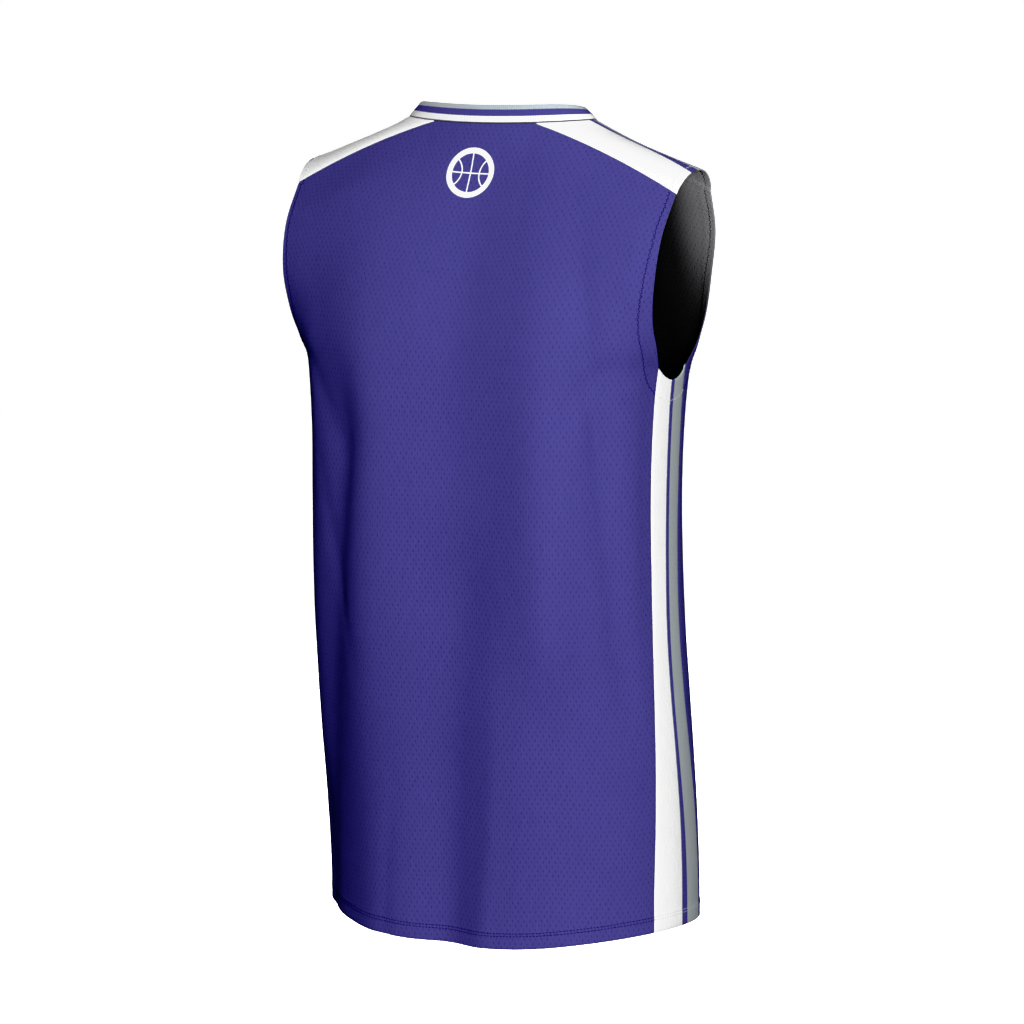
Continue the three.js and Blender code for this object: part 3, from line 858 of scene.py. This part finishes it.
def eyelets(finish, side, height):
    """1 in the middle of an eyelet of the knit and 0 on the cloth between."""
    sway = finish.mottle(side * 160, height * 160) - 0.5
    row = height / EYELET_ROW + sway * 0.3
    line = row.math("FLOOR")
    column = side / EYELET_COLUMN + line.math("FLOORED_MODULO", 2.0) * 0.5 + sway * 0.22
    off_side = (column.math("FRACT") - 0.5) * (EYELET_COLUMN / EYELET_HALF_WIDTH)
    off_height = (row.math("FRACT") - 0.5) * (EYELET_ROW / EYELET_HALF_HEIGHT)
    reach = (off_side * off_side + off_height * off_height) ** 0.5
    place = finish.joined(column.math("FLOOR"), line)
    size = finish.node("ShaderNodeTexWhiteNoise", {"noise_dimensions": "2D"}, {"Vector": place})
    return reach.soft_step(1.35, 0.35) * (0.6 + size * 0.4)


def knit(finish, side, height):
    """Relief of the knit's own loops: wales that run up the cloth and courses across it."""
    wave = (side * (2 * math.pi / WALE)).math("SINE")
    course = (height * (2 * math.pi / COURSE) + wave * 0.8).math("SINE")
    return 0.5 + wave * 0.3 + course * 0.2


def streaks(finish, side, height):
    """Slight unevenness of the yarn, longer along the wales."""
    fine = finish.mottle(side * 700, height * 60) - 0.5
    broad = finish.mottle(side * 28, height * 14) - 0.5
    return 1 + fine * 0.16 + broad * 0.06


def mesh_cloth(finish, side, height, plain, holed, depth=KNIT_DEPTH):
    """Finish of the eyelet knit in a colour and its darker eyelets."""
    hole = eyelets(finish, side, height)
    colour = finish.mixed(hole, plain, holed)
    colour = finish.shaded(colour, streaks(finish, side, height))
    relief = knit(finish, side, height) * 0.4 + (1 - hole) * 0.5
    return finish.cloth_surface(colour, 0.78 + hole * 0.12, relief, depth)


def emblem(side, height):
    """Masks of the printed emblem: where it is white, and where it is violet on the white."""
    reach = (side * side + height * height) ** 0.5
    disc = reach.within(EMBLEM_RADIUS, PRINT_EDGE)
    ball = reach.within(EMBLEM_BALL, PRINT_EDGE)
    centre, radius = (share * EMBLEM_BALL for share in EMBLEM_BENDS)
    bend = abs(((abs(side) - centre) ** 2 + height * height) ** 0.5 - radius)
    upright, level, bend = [line.within(EMBLEM_LINE, PRINT_EDGE) for line in (abs(side), abs(height), bend)]
    lines = upright.math("MAXIMUM", level).math("MAXIMUM", bend)
    return disc, ball * (1 - lines)


def back_finish(emblem_height):
    finish = Finish("violet mesh knit of the back")
    side, height = finish.cut()
    disc, figure = emblem(side, height - emblem_height)
    printed = finish.mixed(figure, WHITE, VIOLET)
    plain = finish.mixed(disc, VIOLET, printed)
    holed = finish.mixed(disc, VIOLET_EYELET, finish.mixed(figure, WHITE_EYELET, VIOLET_EYELET))
    return mesh_cloth(finish, side, height, plain, holed)


def front_finish():
    finish = Finish("violet mesh knit")
    side, height = finish.cut()
    return mesh_cloth(finish, side, height, VIOLET, VIOLET_EYELET)


def reverse_finish():
    """Charcoal inner side with painted shade and painted light: nearly black in the depth of the body and
    paler by the armholes.
    """
    finish = Finish("reverse of the knit")
    side, height = finish.cut()
    across, level = finish.parts(finish.place(), (0, 2))
    # painted light by the armholes over painted shade elsewhere, set by place in the piece
    painted_light_share = abs(across).soft_step(*PAINTED_LIGHT_ACROSS) * level.soft_step(*PAINTED_LIGHT_UP)
    plain = finish.mixed(painted_light_share, CHARCOAL_PAINTED_SHADE, CHARCOAL_PAINTED_LIGHT)
    holed = finish.mixed(painted_light_share, CHARCOAL_PAINTED_SHADE_EYELET, CHARCOAL_PAINTED_LIGHT_EYELET)
    return mesh_cloth(finish, side, height, plain, holed)


def striped_finish(name, stripe_at):
    """White, then a violet stripe, then grey. The stripe is given by the distance from its middle line, which
    is negative on the white, and by its half width."""
    finish = Finish(name)
    side, height = finish.cut()
    place, half = stripe_at(side, height)
    stripe = (abs(place) - half).within(0.0, STRIPE_EDGE)
    grey = place.soft_step(-STRIPE_EDGE, STRIPE_EDGE)
    plain = finish.mixed(stripe, finish.mixed(grey, WHITE, GREY), VIOLET)
    holed = finish.mixed(stripe, finish.mixed(grey, WHITE_EYELET, GREY_EYELET), VIOLET_EYELET)
    return mesh_cloth(finish, side, height, plain, holed, STRIPED_DEPTH)


def side_stripe(side, height):
    place = side - height.soft_step(SIDE_STRIPE_SHIFT_FROM, 0.0) * SIDE_STRIPE_SHIFT
    wider = height.soft_step(SIDE_STRIPE_SPREAD_FROM, 0.0) * (SIDE_STRIPE_SPREAD / 2)
    return place, SIDE_STRIPE / 2 + wider


def shoulder_stripe(side, height):
    at_neck, at_armhole = SHOULDER_STRIPE_PLACE
    place = height - at_neck - side * ((at_armhole - at_neck) / SHOULDER_STRIPE_REACH)
    return place, SHOULDER_STRIPE / 2 + side * (SHOULDER_STRIPE_SPREAD / 2 / SHOULDER_STRIPE_REACH)


def neckband_finish():
    """Flat rib in three stripes."""
    finish = Finish("striped rib of the neckband")
    around, height = finish.cut()
    above_white = height.soft_step(BAND_WHITE - BAND_EDGE, BAND_WHITE + BAND_EDGE)
    above_violet = height.soft_step(BAND_VIOLET - BAND_EDGE, BAND_VIOLET + BAND_EDGE)
    colour = finish.mixed(above_violet, finish.mixed(above_white, WHITE, VIOLET), GREY)
    rib = (around * (2 * math.pi / RIB)).math("SINE")
    course = (height * (2 * math.pi / COURSE)).math("SINE")
    uneven = finish.mottle(around * 500, height * 200) - 0.5
    # the rib's grooves are a little darker as painted shade; the mottle is the yarn's own unevenness
    colour = finish.shaded(colour, 1 + rib * 0.03 + uneven * 0.08)
    # painted shadow along the band's foot, where it meets the panels
    colour = finish.mixed(height.within(BAND_JOIN_SHADOW, BAND_EDGE), colour, JOIN_SHADE)
    relief = 0.5 + rib * 0.35 + course * 0.15
    return finish.cloth_surface(colour, 0.8 + uneven * 0.06, relief, RIB_DEPTH)


def thread_finish(name, colour):
    """Twisted sewing thread."""
    finish = Finish(name)
    inputs = {"Vector": finish.place(), "Scale": 900.0, "Detail": 1.0}
    twist = finish.node("ShaderNodeTexNoise", {}, inputs)
    shade = finish.shaded(colour[:3], 0.85 + twist * 0.3)
    return finish.cloth_surface(shade, 0.55 + twist * 0.1, twist, THREAD_DEPTH, sheen=0.0)


def stitch_tree():
    """Geometry Nodes tree that lays one stitch after another along a line on the cloth."""
    tree = bpy.data.node_groups.new("stitches along a line", "GeometryNodeTree")
    sockets = {}
    for name, kind in (("Line", "NodeSocketGeometry"), ("Spacing", "NodeSocketFloat"),
                       ("Length", "NodeSocketFloat"), ("Half Thickness", "NodeSocketFloat"),
                       ("Swing", "NodeSocketFloat"), ("Thread", "NodeSocketMaterial")):
        sockets[name] = tree.interface.new_socket(name, in_out="INPUT", socket_type=kind).identifier
    tree.interface.new_socket("Stitches", in_out="OUTPUT", socket_type="NodeSocketGeometry")
    given = tree.nodes.new("NodeGroupInput")

    def node(kind, settings, inputs):
        return add_node(tree, kind, settings, inputs).outputs[0]

    curve = node("GeometryNodeMeshToCurve", {}, {0: given.outputs["Line"]})
    inputs = {"Curve": curve, "Length": given.outputs["Spacing"]}
    spaced = node("GeometryNodeResampleCurve", {"mode": "LENGTH"}, inputs)
    ball = node("GeometryNodeMeshUVSphere", {}, {"Segments": 6, "Rings": 5, "Radius": 1.0})
    half = node("ShaderNodeMath", {"operation": "MULTIPLY"}, {0: given.outputs["Length"], 1: 0.5})
    thin = given.outputs["Half Thickness"]
    size = node("ShaderNodeCombineXYZ", {}, {0: half, 1: thin, 2: thin})
    stitch = node("GeometryNodeTransform", {}, {"Geometry": ball, "Scale": size})
    tangent = node("GeometryNodeInputTangent", {}, {})
    facing = node("GeometryNodeInputNamedAttribute", {"data_type": "FLOAT_VECTOR"}, {"Name": "facing"})
    along = node("FunctionNodeAlignRotationToVector", {"axis": "X"}, {"Vector": tangent})
    settings = {"axis": "Z", "pivot_axis": "X"}
    flat = node("FunctionNodeAlignRotationToVector", settings, {"Rotation": along, "Vector": facing})
    number = node("GeometryNodeInputIndex", {}, {})
    odd = node("ShaderNodeMath", {"operation": "MODULO"}, {0: number, 1: 2.0})
    sign = node("ShaderNodeMath", {"operation": "MULTIPLY_ADD"}, {0: odd, 1: 2.0, 2: -1.0})
    swing = node("ShaderNodeMath", {"operation": "MULTIPLY"}, {0: sign, 1: given.outputs["Swing"]})
    turn = node("ShaderNodeCombineXYZ", {}, {2: swing})
    euler = node("FunctionNodeEulerToRotation", {}, {0: turn})
    inputs = {"Rotation": flat, "Rotate By": euler}
    turned = node("FunctionNodeRotateRotation", {"rotation_space": "LOCAL"}, inputs)
    inputs = {"Points": spaced, "Instance": stitch, "Rotation": turned}
    placed = node("GeometryNodeInstanceOnPoints", {}, inputs)
    real = node("GeometryNodeRealizeInstances", {}, {0: placed})
    finished = node("GeometryNodeSetMaterial", {}, {"Geometry": real, "Material": given.outputs["Thread"]})
    out = tree.nodes.new("NodeGroupOutput")
    tree.links.new(finished, out.inputs[0])
    return tree, sockets


def stitched(name, lines, tree, sockets, sizes):
    """Lays stitches along lines, each given as its points and the directions that face out of the cloth."""
    source = bpy.data.meshes.new(name + " lines")
    points = np.concatenate([line for line, facing in lines])
    edges, start = [], 0
    for line, facing in lines:
        edges += [(start + i, start + i + 1) for i in range(len(line) - 1)]
        start += len(line)
    source.from_pydata(points.tolist(), edges, [])
    facing = source.attributes.new("facing", "FLOAT_VECTOR", "POINT")
    facing.data.foreach_set("vector", np.concatenate([f for line, f in lines]).astype(np.float32).ravel())
    piece = new_object(name, source)
    modifier = piece.modifiers.new("stitches", "NODES")
    modifier.node_group = tree
    for label, value in sizes.items():
        modifier[sockets[label]] = value
    bpy.context.view_layer.update()
    ready = piece.evaluated_get(bpy.context.evaluated_depsgraph_get())
    mesh = bpy.data.meshes.new_from_object(ready)
    piece.modifiers.remove(modifier)
    piece.data = mesh
    mesh.name = name
    mesh.materials.clear()
    mesh.materials.append(sizes["Thread"])
    mesh.polygons.foreach_set("use_smooth", np.ones(len(mesh.polygons), bool))
    mesh.update()
    return piece


def outer_tree(pieces):
    """Search tree over the outer faces of several pieces, and the node that each face belongs to."""
    vertices, faces, owners = [], [], []
    for node, piece in pieces.items():
        start = len(vertices)
        outer = [face for face in piece.data.polygons if face.material_index == 0]
        vertices += [vertex.co.copy() for vertex in piece.data.vertices]
        faces += [[start + i for i in face.vertices] for face in outer]
        owners += [node] * len(outer)
    return BVHTree.FromPolygons(vertices, faces), owners


def laid_on(cloth, line):
    """Lays a closed line on the cloth: its points, the directions that face out, and the nodes it is on."""
    tree, owners = cloth
    places, facings, nodes = [], [], []
    for place in line:
        near, normal, face, distance = tree.find_nearest(Vector(place))
        places.append(near)
        facings.append(normal)
        nodes.append(owners[face])
    facings = np.array(facings)
    for turn in range(4):
        facings = unit(facings + np.roll(facings, 1, 0) + np.roll(facings, -1, 0))
    return np.array(places), facings, nodes


def stretches(laid, wanted, lift):
    """Open stretches of a closed line that lie on the wanted nodes, at a height above the cloth."""
    places, facings, nodes = laid
    on = np.array([node in wanted for node in nodes])
    turn = int(np.argmin(on)) if not on.all() else 0
    order = np.roll(np.arange(len(on)), -turn)
    breaks = np.flatnonzero(np.diff(on[order].astype(int))) + 1
    runs = [run for run in np.split(order, breaks) if on[run[0]] and len(run) > 1]
    return [(places[run] + facings[run] * lift, facings[run]) for run in runs]


def armhole_line(side):
    """Closed line round an armhole at the depth of its turning, before it is laid on the cloth."""
    up = np.linspace(0, 1, 180)
    t = np.linspace(0, 1, 60)
    edge = np.concatenate([
        armhole_edge["back"](up)[:-1],
        armhole_top(np.linspace(0, 1, 90))[:-1],
        armhole_edge["front"](up)[::-1][:-1],
        ring(UNDERARM - underarm_dip(t), across_side(UNDERARM, t))[::-1][:-1],
    ])
    tangent = unit(np.roll(edge, -2, 0) - np.roll(edge, 2, 0))
    radial = (edge - np.array(ARMHOLE_CENTRE)) * np.array([0, 1, 1])
    radial = unit(radial - tangent * (radial * tangent).sum(-1, keepdims=True))
    line = edge + radial * ARMHOLE_STITCHES
    for turn in range(ARMHOLE_TURNS):
        line = (line + np.roll(line, 1, 0) + np.roll(line, -1, 0)) / 3
    return mirrored(line, side) * MM


def hem_line(row):
    angle = np.linspace(0, 360, 1440, endpoint=False)
    return ring(hem_height(angle) + row, angle) * MM


def aimed(name, data, azimuth, height, distance):
    """A camera or light that faces the jersey's middle, from a direction in degrees."""
    turn, tilt = math.radians(azimuth), math.radians(height)
    away = Vector((math.sin(turn) * math.cos(tilt), -math.cos(turn) * math.cos(tilt), math.sin(tilt)))
    made = new_object(name, data)
    made.location = AIM + away * distance
    made.rotation_euler = (-away).to_track_quat("-Z", "Y").to_euler()
    return made


def camera():
    data = bpy.data.cameras.new("camera")
    data.lens = LENS
    data.shift_x = SHIFT
    bpy.context.scene.camera = aimed("camera", data, VIEW_AZIMUTH, VIEW_HEIGHT, DISTANCE)


def soft_light(name, azimuth, height, size, watts):
    data = bpy.data.lights.new(name, "AREA")
    data.shape = "DISK"
    data.size = size
    data.energy = watts
    aimed(name, data, azimuth, height, LIGHT_DISTANCE).visible_camera = False


def studio():
    """Soft lights, white surroundings that give the cloth little light, and the photograph's tones."""
    for name, numbers in LIGHTS.items():
        soft_light(name, *numbers)
    world = bpy.data.worlds.new("studio")
    world.use_nodes = True
    tree = world.node_tree
    tree.nodes.clear()
    seen = add_node(tree, "ShaderNodeLightPath", {}, {}).outputs["Is Camera Ray"]
    inputs = {"Value": seen, "To Min": WORLD_LIGHT, "To Max": 1.0}
    strength = add_node(tree, "ShaderNodeMapRange", {}, inputs).outputs[0]
    inputs = {"Color": (1, 1, 1, 1), "Strength": strength}
    background = add_node(tree, "ShaderNodeBackground", {}, inputs).outputs[0]
    add_node(tree, "ShaderNodeOutputWorld", {}, {"Surface": background})
    bpy.context.scene.world = world
    view = bpy.context.scene.view_settings
    view.view_transform = "Standard"
    view.use_curve_mapping = True
    curve = view.curve_mapping.curves[3]
    curve.points[0].location = TONES[0]
    curve.points[1].location = TONES[-1]
    for light, shown in TONES[1:-1]:
        curve.points.new(light, shown)
    for dot in curve.points:
        dot.handle_type = "VECTOR"
    view.curve_mapping.update()


def floor():
    """Plain pale floor that gives no light of its own to the cloth."""
    mesh = bpy.data.meshes.new("floor")
    corners = [(-1, -1), (1, -1), (1, 1), (-1, 1)]
    corners = [(x * FLOOR_REACH, y * FLOOR_REACH, FLOOR_HEIGHT) for x, y in corners]
    mesh.from_pydata(corners, [], [(0, 1, 2, 3)])
    material = bpy.data.materials.new("pale floor")
    material.use_nodes = True
    surface = material.node_tree.nodes["Principled BSDF"]
    surface.inputs["Base Color"].default_value = (0.9, 0.9, 0.9, 1)
    surface.inputs["Emission Color"].default_value = (1, 1, 1, 1)
    surface.inputs["Emission Strength"].default_value = 1.0
    mesh.materials.append(material)
    piece = new_object("floor", mesh)
    piece.visible_diffuse = False
    piece.visible_glossy = False


def emblem_height():
    """Height of the emblem's middle above the underarm line, along the cloth of the centre back."""
    up = np.linspace(0, 1, 400)
    column = upper("back", 0 * up, up)
    steps = np.linalg.norm(np.diff(column, axis=0), axis=-1)
    length = np.concatenate([[0], np.cumsum(steps)])
    return float(np.interp(EMBLEM_DROP, column[:, 2], length)) * MM


camera()
studio()
floor()

violet_back = back_finish(emblem_height())
violet = front_finish()
reverse = reverse_finish()
striped_side = striped_finish("striped mesh knit of the side panels", side_stripe)
striped_shoulder = striped_finish("striped mesh knit of the shoulder panels", shoulder_stripe)
striped_rib = neckband_finish()
threads = {colour: thread_finish(colour + " thread", rgba) for colour, rgba in THREADS.items()}

PANELS = ["back", "front"]
SHOULDERS = ["shoulder_panel_left", "shoulder_panel_right"]
STRIPED = ["side_panel_left", "side_panel_right"] + SHOULDERS

# Each kind of piece: its finish outside and inside, its slot, the width, length and area of the flat cloth in
# metres and square metres, and what it hangs from
KINDS = {
    "back": ((violet_back, reverse), "body_mesh", (0.440, 0.768, 0.311), SHOULDERS),
    "front": ((violet, reverse), "body_mesh", (0.465, 0.728, 0.306), SHOULDERS),
    "side_panel": ((striped_side, reverse), "panel_mesh", (0.082, 0.521, 0.029), PANELS),
    "shoulder_panel": ((striped_shoulder, reverse), "panel_mesh", (0.157, 0.111, 0.0107), PANELS),
    "collar": ((striped_rib, striped_rib), "neckband_knit", (0.5755, 0.0155, 0.0089), PANELS + SHOULDERS),
}

# Each piece by the node it stands for
pieces = {panel: panel_piece(panel) for panel in PANELS}
for place, make in {"side": side_piece, "shoulder": shoulder_piece}.items():
    for hand, side in {"left": 1, "right": -1}.items():
        pieces[f"{place}_panel_{hand}"] = make(f"{place}_cloth_{hand}", side)
pieces["collar"] = neckband_piece()

tree, sockets = stitch_tree()
outside = outer_tree({node: piece for node, piece in pieces.items() if node != "collar"})
above = THREAD * THREAD_LIFT
below = -(CLOTH + TURNING) * MM - above
zigzag = {
    "Spacing": ARMHOLE_ZIGZAG * MM,
    "Length": ARMHOLE_ZIGZAG * MM / math.cos(ARMHOLE_SWING),
    "Swing": ARMHOLE_SWING,
}
straight = {"Spacing": HEM_STITCH, "Length": HEM_STITCH * HEM_STITCH_SHARE, "Swing": 0.0}
# Thread, the nodes it is sewn in, its height above the cloth and its half thickness
SEWN = {
    "violet": (PANELS, above, THREAD),
    "pale": (STRIPED, FINE_THREAD * THREAD_LIFT, FINE_THREAD),
    "black": (PANELS + STRIPED, below, THREAD),
}
seams = {
    "armhole_stitching": ([laid_on(outside, armhole_line(side)) for side in (1, -1)], zigzag),
    "hem_stitching": ([laid_on(outside, hem_line(row)) for row in HEM_ROWS], straight),
}
stitching = []
for name, (loops, sizes) in seams.items():
    for colour, (wanted, lift, half) in SEWN.items():
        lines = [line for loop in loops for line in stretches(loop, wanted, lift)]
        inputs = sizes | {"Half Thickness": half, "Thread": threads[colour]}
        stitching.append(stitched(name + "_" + colour, lines, tree, sockets, inputs))

for piece in stitching:
    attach(piece, "root")
for node, piece in pieces.items():
    kind = node.removesuffix("_left").removesuffix("_right")
    finishes, slot, (width, length, area), hangs_from = KINDS[kind]
    for material in finishes:
        piece.data.materials.append(material)
    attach(piece, "root")
    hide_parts(node)
    stitching if node == "back" else ()
